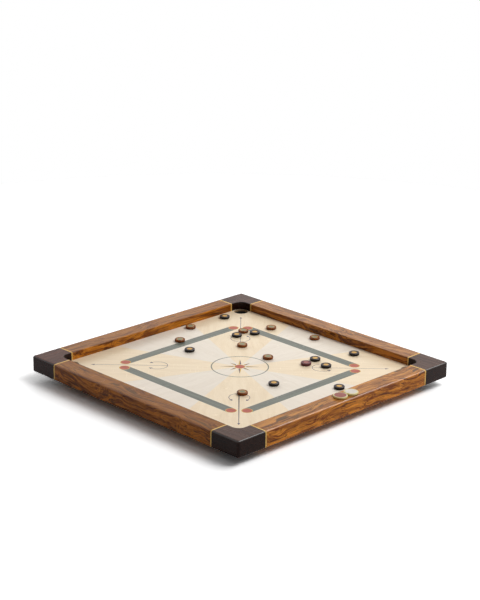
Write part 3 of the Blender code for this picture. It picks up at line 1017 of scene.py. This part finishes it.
@dataclass
class TimberFrame:
    """The four rails, the corner blocks, the pale strips and what holds the bed up."""

    planks: dict[Side, Plank] = field(default_factory=lambda: PLANKS)
    cleat_seed: float = 0.4
    block_seed: float = 7.3
    foot_seed: float = 0.5
    strip_seed: float = 12.0
    tenon_seed: float = 17.0
    batten_seed: float = 21.0

    def dress_sides(self) -> None:
        """Gives each rail a plank of its own, and the cleat, strips and tenons their woods."""
        for side in Side:
            plank, number = self.planks[side], side.value / QUARTER
            timber = replace(ROSEWOOD, top=plank.top, sheen_share=plank.sheen_share)
            wood = timber.material(side.grain, plank.seed, plank.knot, plank.tone)
            dress_node(f"{side.label}_rail", wood)
            cleat = BEECH.material(side.grain, plank.seed + self.cleat_seed)
            dress_node(f"{side.label}_cleat", cleat)
            strip = BOXWOOD.material(side.across, self.strip_seed + number)
            tenon = BEECH.material(side.grain, self.tenon_seed + number)
            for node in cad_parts:
                if node.startswith(f"inlay_strip_{side.label}_"):
                    dress_node(node, strip)
                elif node.startswith(f"tenon_{side.label}_"):
                    dress_node(node, tenon)

    def dress_corners(self) -> None:
        """Gives each corner block its own piece of ebony and each foot its black coat."""
        for number, corner in enumerate(Corner):
            grain = Grain.ALONG_X if number % 2 else Grain.ALONG_Y
            wood = WARM_EBONY if corner is Corner.FRONT_LEFT else EBONY
            block = wood.material(grain, self.block_seed + number)
            dress_node(f"corner_block_{corner.label}", block)
            dress_node(f"foot_{corner.label}", FOOT_BLACK.material(seed=self.foot_seed + number))

    def dress_bed(self) -> None:
        """Gives the bed its plywood and the battens their beech."""
        dress_node("bed_core", PlywoodFinish().material())
        for number, node in enumerate(BATTENS):
            dress_node(node, BEECH.material(Grain.ALONG_Y, self.batten_seed + number))

    def build(self) -> None:
        """Dresses the whole frame."""
        self.dress_sides()
        self.dress_corners()
        self.dress_bed()


# ---- the playing field


@dataclass
class PlayingField:
    """The veneered field: a fan of two-toned veneers with lines, circles, arrows and a star."""

    half_field: float = 0.370
    pocket_radius: float = 0.02225
    band_outer: float = 0.2685
    band_inner: float = 0.2367
    circle_reach: float = 0.2215
    circle_radius: float = 0.0159
    ring_width: float = 0.0022
    centre_radius: float = 0.085
    line_width: float = 0.0016
    arrow_outer: float = 0.436
    arrow_inner: float = 0.240
    arrow_bow: float = 0.030
    bow_turn: float = 55.0
    head_length: float = 0.012
    head_half: float = 0.004
    barb_out: float = 0.004
    barb_along: float = 0.010
    barb_in: float = 0.006
    star_points: int = 8
    star_reach: float = 0.058
    star_short_share: float = 0.72
    star_waist: float = 0.020
    proud: float = 0.00005
    inlay_depth: float = 0.0004
    end_steps: int = 24
    bow_steps: int = 48
    ring_steps: int = 128
    ground_seeds: Span = (0.9, 0.6)
    line_seed: float = 30.0
    ring_seed: float = 34.0
    circle_seed: float = 41.0
    arrow_seed: float = 50.0
    centre_seeds: tuple[float, ...] = (60.0, 61.0, 63.0, 64.0)

    def __post_init__(self) -> None:
        """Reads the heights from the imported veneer."""
        self.low, self.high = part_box("playing_veneer")
        self.pocket_place = self.half_field - self.pocket_radius

    def inlay(
        self,
        name: str,
        outlines: list[Outline],
        finish: TimberFinish,
        seed: float,
        grain: Grain = Grain.ALONG_X,
        degrees: float = 0.0,
    ) -> None:
        """Lets one thin piece of stained veneer into the field.

        Args:
            name: the piece's name.
            outlines: its closed outlines.
            finish: its veneer.
            seed: the figure's shift.
            grain: the way that its grain runs.
            degrees: how far the outlines are turned about the board's middle.
        """
        spin, top = Matrix.Rotation(math.radians(degrees), 2), self.high.z
        spun = [[tuple(spin @ Vector(point)) for point in outline] for outline in outlines]
        piece = plate(name, spun, top - self.inlay_depth, top + self.proud)
        seat(dress(piece, finish.material(grain, seed)), BODY, "maple_veneer")

    def ground(self) -> None:
        """Lays the fan of veneers, cut along its seams and round the four pockets."""
        edge = self.high.x
        square = [(-edge, -edge), (edge, -edge), (edge, edge), (-edge, edge)]
        holes = [
            circle((x * self.pocket_place, y * self.pocket_place), self.pocket_radius)
            for x, y in (corner.value for corner in Corner)
        ]
        piece = plate("veneer_fan_ground", [square, *holes], self.low.z, self.high.z)
        woods = zip((PALE_VENEER, CREAM_VENEER), self.ground_seeds)
        dress(piece, *(wood.material(Grain.FAN, seed) for wood, seed in woods))
        work = bmesh.new()
        work.from_mesh(piece.data)
        step = math.tau / VENEERS
        for seam in range(VENEERS // 2):
            turn = (seam + 0.5) * step
            parts = [*work.verts, *work.edges, *work.faces]
            across = (-math.sin(turn), math.cos(turn), 0)
            bmesh.ops.bisect_plane(work, geom=parts, plane_co=(0, 0, 0), plane_no=across)
        for face in work.faces:
            middle = face.calc_center_median()
            face.material_index = round(math.atan2(middle.y, middle.x) / step) % 2
        written(work, piece.data)
        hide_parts("playing_veneer")
        seat(piece, BODY, "maple_veneer")

    def base_line(self, side: Side) -> None:
        """Lets in one side's base line, with a red base circle in a gold ring at each end.

        Args:
            side: the side of the board.
        """
        middle = (self.band_outer + self.band_inner) / 2
        half = (self.band_outer - self.band_inner) / 2
        start, end = (middle, -self.circle_reach), (middle, self.circle_reach)
        band = arc(start, half, 0.0, 180.0, self.end_steps)
        band += arc(end, half, 180.0, 360.0, self.end_steps)
        rows = [(f"base_line_{side.label}", [band], STAIN_SLATE, self.line_seed)]
        for sign, word, centre in ((-1, "start", start), (1, "end", end)):
            inner = circle(centre, self.circle_radius - self.ring_width)
            ring, ending = [circle(centre, self.circle_radius), inner], f"{side.label}_{word}"
            rows += [
                (f"base_ring_{ending}", ring, STAIN_GOLD, self.ring_seed + sign),
                (f"base_circle_{ending}", [inner], STAIN_RED, self.circle_seed + sign),
            ]
        for *row, seed in rows:
            self.inlay(*row, seed + side.value / QUARTER, side.grain, side.value)

    def arrow(self, corner: Corner) -> None:
        """Lets in one corner's arrow: a fine line to the pocket, with a bow and two barbs.

        Args:
            corner: the corner of the board.
        """
        neck, half = self.arrow_outer - self.head_length, self.line_width / 2
        tail = self.arrow_inner - self.arrow_bow + self.line_width
        flank = [(tail, half), (neck, half), (neck, self.head_half)]
        line = [*((x, -y) for x, y in flank), (self.arrow_outer, 0.0), *reversed(flank)]
        bow, first, last = (self.arrow_inner, 0.0), self.bow_turn, 360.0 - self.bow_turn
        sweep = arc(bow, self.arrow_bow, first, last, self.bow_steps)
        sweep += arc(bow, self.arrow_bow - self.line_width, last, first, self.bow_steps)
        barbs = []
        for sign in (-1, 1):
            turn = math.radians(sign * self.bow_turn)
            x, y = math.cos(turn), math.sin(turn)
            out, along = Vector((x, y)), Vector((y, -x)) * sign
            end = Vector((bow[0] + self.arrow_bow * x, self.arrow_bow * y))
            corners = (out * self.barb_out, along * self.barb_along, out * -self.barb_in)
            barbs.append([tuple(end + away) for away in corners])
        degrees = corner.degrees
        outlines, seed = [line, sweep, *barbs], self.arrow_seed + degrees / QUARTER
        self.inlay(f"arrow_{corner.label}", outlines, STAIN_VIOLET, seed, degrees=degrees)

    def centre(self) -> None:
        """Lets in the centre: an outer ring, an eight-pointed star and the red centre circle."""
        radii = (self.centre_radius, self.centre_radius - 2 * self.line_width)
        ring = [circle(ORIGIN, radius, self.ring_steps) for radius in radii]
        ring_seed, star_seed, rim_seed, disc_seed = self.centre_seeds
        self.inlay("centre_ring", ring, STAIN_SLATE, ring_seed)
        rim, waist = self.circle_radius, self.star_waist
        flank = waist * math.tan(math.asin(rim / (2 * waist)) / 2)
        for name, sign, stain in (("gold", 1, STAIN_GOLD), ("violet", -1, STAIN_VIOLET)):
            kites = []
            for point in range(self.star_points):
                reach = self.star_reach * (1.0 if point % 2 else self.star_short_share)
                spin = Matrix.Rotation(math.tau * point / self.star_points, 2)
                kite = ((rim, 0.0), (reach, 0.0), (waist, sign * flank))
                kites.append([tuple(spin @ Vector(corner)) for corner in kite])
            self.inlay(f"centre_star_{name}", kites, stain, star_seed)
        disc = circle(ORIGIN, rim - self.ring_width)
        self.inlay("centre_rim", [circle(ORIGIN, rim), disc], STAIN_GOLD, rim_seed)
        self.inlay("centre_circle", [disc], STAIN_RED, disc_seed)

    def build(self) -> None:
        """Makes the whole field."""
        self.ground()
        for side in Side:
            self.base_line(side)
        for corner in Corner:
            self.arrow(corner)
        self.centre()


# ---- the men and the strikers


@dataclass
class TurnedDisc:
    """A turned disc with a dished top, a let-in disc and a fine ring round it."""

    node: str
    slot: str
    wood: TimberFinish | MouldedFinish
    disc: TimberFinish | MouldedFinish
    ring: TimberFinish | MouldedFinish
    seed: float
    disc_share: float = 0.50
    ring_share: float = 0.68
    edge: float = 0.0018
    foot: float = 0.0026
    dish: float = 0.0005
    recess: float = 0.0006
    lip: float = 0.0007
    sunk: float = 0.00055
    gap: float = 0.00005
    crown_inset: float = 0.0003
    crown: float = 0.0001
    dome: float = 0.00015
    dome_share: float = 0.6
    ring_shift: float = 0.3
    disc_shift: float = 0.7
    edge_steps: int = 6
    lip_steps: int = 4

    def __post_init__(self) -> None:
        """Reads the disc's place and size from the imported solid."""
        low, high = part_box(self.node)
        self.middle = Vector(((low.x + high.x) / 2, (low.y + high.y) / 2, low.z))
        self.radius = (high.x - low.x) / 2
        self.height = high.z - low.z

    def body_profile(self) -> list[Point]:
        """Gives the section of the body, with the recess that the ring and disc lie in.

        Returns:
            The section, from the top centre round to the bottom centre.
        """
        radius, height, edge, lip = self.radius, self.height, self.edge, self.lip
        recess, low = self.ring_share * radius, height - self.dish - self.recess
        rim = arc((radius - edge, height - edge), edge, 90.0, 0.0, self.edge_steps)
        toe = (radius - self.foot, self.foot)
        foot = arc(toe, self.foot, 0.0, -90.0, self.edge_steps)
        inner = arc((recess + lip, height - lip), lip, 180.0, 90.0, self.lip_steps)
        return [(0.0, low), (recess, low), *inner, *rim, *foot, (0.0, 0.0)]

    def build(self) -> None:
        """Makes the disc with its ring and let-in disc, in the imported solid's place."""
        body = turned(f"{self.node}_body", self.body_profile())
        dress(body, self.wood.material(Grain.ALONG_X, self.seed))
        top, gap, inner = self.height - self.dish, self.gap, self.disc_share * self.radius
        low, bore, outer = top - self.sunk, inner + gap, self.ring_share * self.radius - gap
        crown = [(bore, top), (outer - self.crown_inset, top + self.crown), (outer, top)]
        ring = turned(f"{self.node}_ring", [(bore, low), *crown, (outer, low), (bore, low)])
        shoulder = (self.dome_share * inner, top + self.crown)
        dome = [(0.0, top + self.dome), shoulder, (inner, top - gap)]
        disc = turned(f"{self.node}_disc", [*dome, (inner, low), (0.0, low)])
        parts = ((ring, self.ring, self.ring_shift), (disc, self.disc, self.disc_shift))
        for piece, kind, shift in parts:
            dress(piece, kind.material(Grain.ALONG_X, self.seed + shift))
            piece.parent = body
        body.location = self.middle
        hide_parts(self.node)
        seat(body, self.node, self.slot)


@dataclass
class PlayingSet:
    """The nine black men, the eight brown men, the queen and the two strikers."""

    black_count: int = 9
    brown_count: int = 8
    striker_disc_share: float = 0.83
    striker_ring_share: float = 0.885
    striker_edge: float = 0.0019
    striker_dish: float = 0.0002
    black_seed: float = 70.0
    brown_seed: float = 90.0
    queen_seed: float = 110.0
    striker_seeds: Span = (120.0, 124.0)

    def discs(self) -> list[TurnedDisc]:
        """Lists every disc of the set.

        Returns:
            The discs, not yet built.
        """
        black = ("black_wood", BLACK_MAN, GOLD_INLAY, BLACK_MAN)
        brown = ("brown_wood", BROWN_MAN, GREEN_INLAY, TAN_INLAY)
        men = [
            (f"{colour}_man_{number}", *look, seed + number)
            for colour, look, seed, count in (
                ("black", black, self.black_seed, self.black_count),
                ("brown", brown, self.brown_seed, self.brown_count),
            )
            for number in range(1, count + 1)
        ]
        queen = ("queen", "purple_wood", PURPLE_MAN, PINK_INLAY, PURPLE_MAN, self.queen_seed)
        first, second = self.striker_seeds
        strikers = (
            ("striker_rose", "rose_ivory", PALE_IVORY, ROSE_DISC, CREAM_DISC, first),
            ("striker_pale", "pale_ivory", PALE_IVORY, CREAM_DISC, PALE_IVORY, second),
        )
        shape = {
            "disc_share": self.striker_disc_share,
            "ring_share": self.striker_ring_share,
            "edge": self.striker_edge,
            "dish": self.striker_dish,
        }
        plain = [TurnedDisc(*row) for row in (*men, queen)]
        return plain + [TurnedDisc(*row, **shape) for row in strikers]

    def build(self) -> None:
        """Makes every disc."""
        for disc in self.discs():
            disc.build()


# ---- the underside


@dataclass
class Underside:
    """The pocket cups, and the screws that hold the cups, the cleats and the battens."""

    screw_radius: float = 0.0034
    screw_height: float = 0.0009
    shoulder_share: float = 0.55
    face_share: float = 0.86
    slot_width: float = 0.0010
    slot_share: float = 0.45
    slot_length_share: float = 0.95
    screw_turn: float = 0.3
    next_turn: float = 0.7
    cleat_screws: int = 5
    cleat_rows: tuple[float, ...] = (0.5,)
    batten_screws: int = 4
    batten_rows: tuple[float, ...] = (0.25, 0.75)
    cup_screws: int = 3
    cup_screw_turn: float = 30.0
    cup_screw_inset: float = 0.0030
    lift: float = 0.00005
    cup_inner: float = 0.0235
    cup_wall: float = 0.0025
    flange_thick: float = 0.0022
    flange_top_round: float = 0.0004
    flange_round: float = 0.0006
    neck_round: float = 0.0010
    bowl_round: float = 0.0014
    foot_round: float = 0.0020
    grip_depth: float = 0.0005
    grip_shares: tuple[float, ...] = (0.52, 0.50, 0.42, 0.40)
    cup_seed: float = 130.0
    head_steps: int = 18
    bowl_steps: int = 4
    foot_steps: int = 5
    cup_steps: int = 64

    def screw_head(self) -> Mesh:
        """Makes one slotted screw head, face down, with its seat at z = 0.

        Returns:
            The head's mesh.
        """
        radius, height, half = self.screw_radius, self.screw_height, self.slot_width / 2
        start, share = math.degrees(math.asin(half / radius)), self.face_share
        edge = arc(ORIGIN, radius, start, 180.0 - start, self.head_steps)
        face = [(share * x, half + share * (y - half)) for x, y in edge]
        levels = ((edge, 0.0), (edge, -self.shoulder_share * height), (face, -height))
        work = bmesh.new()
        for sign in (-1, 1):
            rings = [[work.verts.new((x, sign * y, z)) for x, y in line] for line, z in levels]
            for upper, lower in zip(rings, rings[1:]):
                pairs = list(zip(upper, lower))
                for (a, b), (c, d) in zip(pairs, pairs[1:] + pairs[:1]):
                    work.faces.new((a, c, d, b))
            work.faces.new(rings[-1])
            work.faces.new(rings[0])
        floor, length = self.slot_share * height, 2 * self.slot_length_share * radius
        strip = bmesh.ops.create_cube(work, size=1.0)["verts"]
        bmesh.ops.scale(work, vec=(length, self.slot_width, floor), verts=strip)
        bmesh.ops.translate(work, vec=(0.0, 0.0, -floor / 2), verts=strip)
        bmesh.ops.recalc_face_normals(work, faces=work.faces)
        return written(work, bpy.data.meshes.new("screw_head"))

    def screws(self, name: str, places: list[Vector]) -> None:
        """Makes a set of screw heads as one piece.

        Args:
            name: the piece's name.
            places: the seat of each head.
        """
        head, work = self.screw_head(), bmesh.new()
        for number, place in enumerate(places):
            before = len(work.verts)
            work.from_mesh(head)
            spin = Matrix.Rotation(self.next_turn * number + self.screw_turn, 4, "Z")
            turn = Matrix.Translation(place - Vector((0, 0, self.lift))) @ spin
            bmesh.ops.transform(work, matrix=turn, verts=list(work.verts)[before:])
        bpy.data.meshes.remove(head)
        piece = placed(name, written(work, bpy.data.meshes.new(name)))
        seat(dress(piece, MetalFinish().material()), BODY, "black_cup")

    def seats(self, node: str, along: int, count: int, rows: tuple[float, ...]) -> list[Vector]:
        """Gives the seats of the screws in rows along a packed bar's underside.

        Args:
            node: the bar's node.
            along: the bar's axis, 0 for x and 1 for y.
            count: how many screws a row has.
            rows: how far across the bar each row lies, as a share of its width.

        Returns:
            The seats.
        """
        (low, high), across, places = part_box(node), 1 - along, []
        for distance in spaced(low[along], high[along], count):
            for share in rows:
                place = low.copy()
                place[along] = distance
                place[across] = low[across] + share * (high[across] - low[across])
                places.append(place)
        return places

    def cup(self, corner: Corner) -> None:
        """Makes one turned cup with its screws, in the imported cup's place.

        Args:
            corner: the cup's corner.
        """
        node = f"pocket_cup_{corner.label}"
        low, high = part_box(node)
        depth, flange, inner = high.z - low.z, (high.x - low.x) / 2, self.cup_inner
        wall, under, outer = self.cup_wall, depth - self.flange_thick, inner + self.cup_wall
        bowl, foot, neck = self.bowl_round, self.foot_round, self.neck_round
        groove = outer - self.grip_depth
        profile = [
            (0.0, wall),
            *arc((inner - bowl, wall + bowl), bowl, -90.0, 0.0, self.bowl_steps),
            (inner, depth),
            (flange - self.flange_top_round, depth),
            (flange, depth - self.flange_top_round),
            (flange, under + self.flange_round),
            (flange - self.flange_round, under),
            (outer + neck, under),
            (outer, under - neck),
            *zip((outer, groove, groove, outer), (depth * share for share in self.grip_shares)),
            *arc((outer - foot, foot), foot, 0.0, -90.0, self.foot_steps),
            (0.0, 0.0),
        ]
        piece = turned(f"{node}_turned", profile, self.cup_steps)
        x, y = (low.x + high.x) / 2, (low.y + high.y) / 2
        piece.location = (x, y, low.z)
        seed = self.cup_seed + corner.value[0] + 2 * corner.value[1]
        dress(piece, POCKET_BLACK.material(seed=seed))
        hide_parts(node)
        seat(piece, BODY, "black_cup")
        reach, turn = flange - self.cup_screw_inset, self.cup_screw_turn
        ring = arc((x, y), reach, turn, turn + 360.0, self.cup_screws)[:-1]
        seats = [Vector((*spot, high.z - self.flange_thick)) for spot in ring]
        self.screws(f"cup_screws_{corner.label}", seats)

    def build(self) -> None:
        """Makes the cups and every screw head."""
        for corner in Corner:
            self.cup(corner)
        cleats, battens = [], []
        for side in Side:
            node, along = f"{side.label}_cleat", int(side.grain is Grain.ALONG_Y)
            cleats += self.seats(node, along, self.cleat_screws, self.cleat_rows)
        for node in BATTENS:
            battens += self.seats(node, 1, self.batten_screws, self.batten_rows)
        self.screws("cleat_screws", cleats)
        self.screws("batten_screws", battens)


# ---- the studio


@dataclass
class Lamp:
    """A soft square or oblong lamp that points at the board's middle."""

    name: str
    turn: float
    rise: float
    far: float
    width: float
    height: float
    power: float
    in_gloss: bool = True

    def hang(self) -> None:
        """Hangs the lamp, hidden from the camera."""
        data = bpy.data.lights.new(self.name, "AREA")
        data.shape = "RECTANGLE"
        data.size, data.size_y, data.energy = self.width, self.height, self.power
        piece = placed(self.name, data)
        turn, rise = math.radians(self.turn), math.radians(self.rise)
        flat = math.cos(rise)
        way = Vector((math.cos(turn) * flat, math.sin(turn) * flat, math.sin(rise)))
        piece.location = way * self.far
        piece.rotation_mode = "QUATERNION"
        piece.rotation_quaternion = (-way).to_track_quat("-Z", "Y")
        piece.visible_camera = False
        piece.visible_glossy = self.in_gloss


@dataclass
class Studio:
    """A plain white studio: a pale floor, a soft lamp, a lit backdrop, a little fill, the camera.

    To the eye the floor is lighter where less light falls, so that all of it is white in the open.
    """

    floor_radius: float = 2.4
    floor_steps: int = 96
    floor_tone: float = 0.80
    floor_seen: float = 1.38
    floor_lean: Triple = (0.094, -0.417, 0.0)
    floor_bend: float = 0.094
    floor_mirror: float = 1.0
    lamps: tuple[Lamp, ...] = (
        Lamp("key_lamp", 50.0, 57.0, 3.6, 2.8, 2.3, 95.0),
        Lamp("backdrop_glow", 142.0, 21.0, 3.6, 8.5, 1.8, 190.0, False),
    )
    fill_way: Triple = (0.96, 0.10, 0.26)
    fill: Span = (0.02, 0.20)
    azimuth: float = 45.1108
    elevation: float = 20.6977
    distance: float = 4.94613
    focus: float = 1696.64
    yaw: float = 0.02989
    pitch: float = 1.97910
    roll: float = 0.80716
    aim_height: float = 0.0707
    image_height: float = 600.0
    sensor: float = 36.0
    far_limit: float = 100.0

    def floor(self) -> None:
        """Lays the round floor: white in the open, shadowed by the board, clear from below."""
        mesh = bpy.data.meshes.new("studio_floor")
        rim = circle(ORIGIN, self.floor_radius, self.floor_steps)
        mesh.from_pydata([(*point, 0.0) for point in rim], [], [tuple(range(len(rim)))])
        piece = placed("studio_floor", mesh)
        material, bench, shader = new_material("studio_floor")
        bench.tree.nodes.remove(shader)
        path = bench.add("LightPath").outputs
        mirrored = bench.math("MAXIMUM", path["Is Glossy Ray"], path["Is Transmission Ray"])
        place = bench.spot()
        depth = bench.part(place, 1)
        lean = bench.vector("DOT_PRODUCT", place, self.floor_lean)
        bent = bench.plus_times(lean, bench.times(depth, depth), self.floor_bend)
        white = bench.math("ADD", bent, self.floor_seen)
        tone = bench.scaled(mirrored, self.floor_tone, self.floor_mirror)
        tone = bench.scaled(path["Is Camera Ray"], tone, white)
        colour = bench.add("CombineColor", {0: tone, 1: tone, 2: tone}).outputs[0]
        diffuse = bench.add("BsdfDiffuse", {"Color": colour}).outputs[0]
        below = bench.add("NewGeometry").outputs["Backfacing"]
        clear = bench.add("BsdfTransparent").outputs[0]
        surface = bench.add("MixShader", {0: below, 1: diffuse, 2: clear}).outputs[0]
        bench.feed(bench.tree.nodes["Material Output"], {"Surface": surface})
        dress(piece, material)

    def world(self) -> None:
        """Makes the weak fill, stronger from the right, and the white that the eye sees."""
        world = bpy.data.worlds.new("studio_world")
        bpy.context.scene.world = world
        world.use_nodes = True
        bench = Bench(world.node_tree)
        way = bench.add("TexCoord").outputs["Generated"]
        facing = bench.vector("DOT_PRODUCT", way, self.fill_way)
        fill = bench.scaled(bench.plus_times(0.5, facing, 0.5), *self.fill)
        path = bench.add("LightPath").outputs
        plain = bench.math("MAXIMUM", path["Is Camera Ray"], path["Is Glossy Ray"])
        plain = bench.math("MAXIMUM", plain, path["Is Transmission Ray"])
        tone = bench.scaled(plain, fill, 1.0)
        background = world.node_tree.nodes["Background"]
        bench.feed(background, {"Color": (1.0, 1.0, 1.0), "Strength": tone})

    def camera(self) -> None:
        """Sets the camera where the photograph was taken from."""
        azimuth, tilt, yaw, pitch, roll = (
            Matrix.Rotation(math.radians(degrees), 4, axis)
            for degrees, axis in (
                (self.azimuth, "Z"),
                (QUARTER - self.elevation, "X"),
                (self.yaw, "Z"),
                (self.pitch, "X"),
                (self.roll, "Z"),
            )
        )
        orbit = azimuth @ tilt
        spot = orbit @ Vector((0.0, 0.0, self.distance)) + Vector((0.0, 0.0, self.aim_height))
        data = bpy.data.cameras.new("studio_camera")
        data.sensor_width = self.sensor
        data.lens = self.focus * self.sensor / self.image_height
        data.clip_end = self.far_limit
        camera = placed("studio_camera", data)
        camera.matrix_world = Matrix.Translation(spot) @ yaw @ orbit @ pitch @ roll
        bpy.context.scene.camera = camera

    def build(self) -> None:
        """Sets up the whole studio."""
        bpy.context.scene.view_settings.view_transform = "Standard"
        self.floor()
        self.world()
        for lamp in self.lamps:
            lamp.hang()
        self.camera()


def main() -> None:
    """Dresses the board piece by piece."""
    logging.basicConfig(level=logging.INFO, format="%(name)s: %(message)s")
    Studio().build()
    TimberFrame().build()
    PlayingField().build()
    PlayingSet().build()
    Underside().build()
    bpy.context.view_layer.update()


if __name__ == "__main__":
    main()
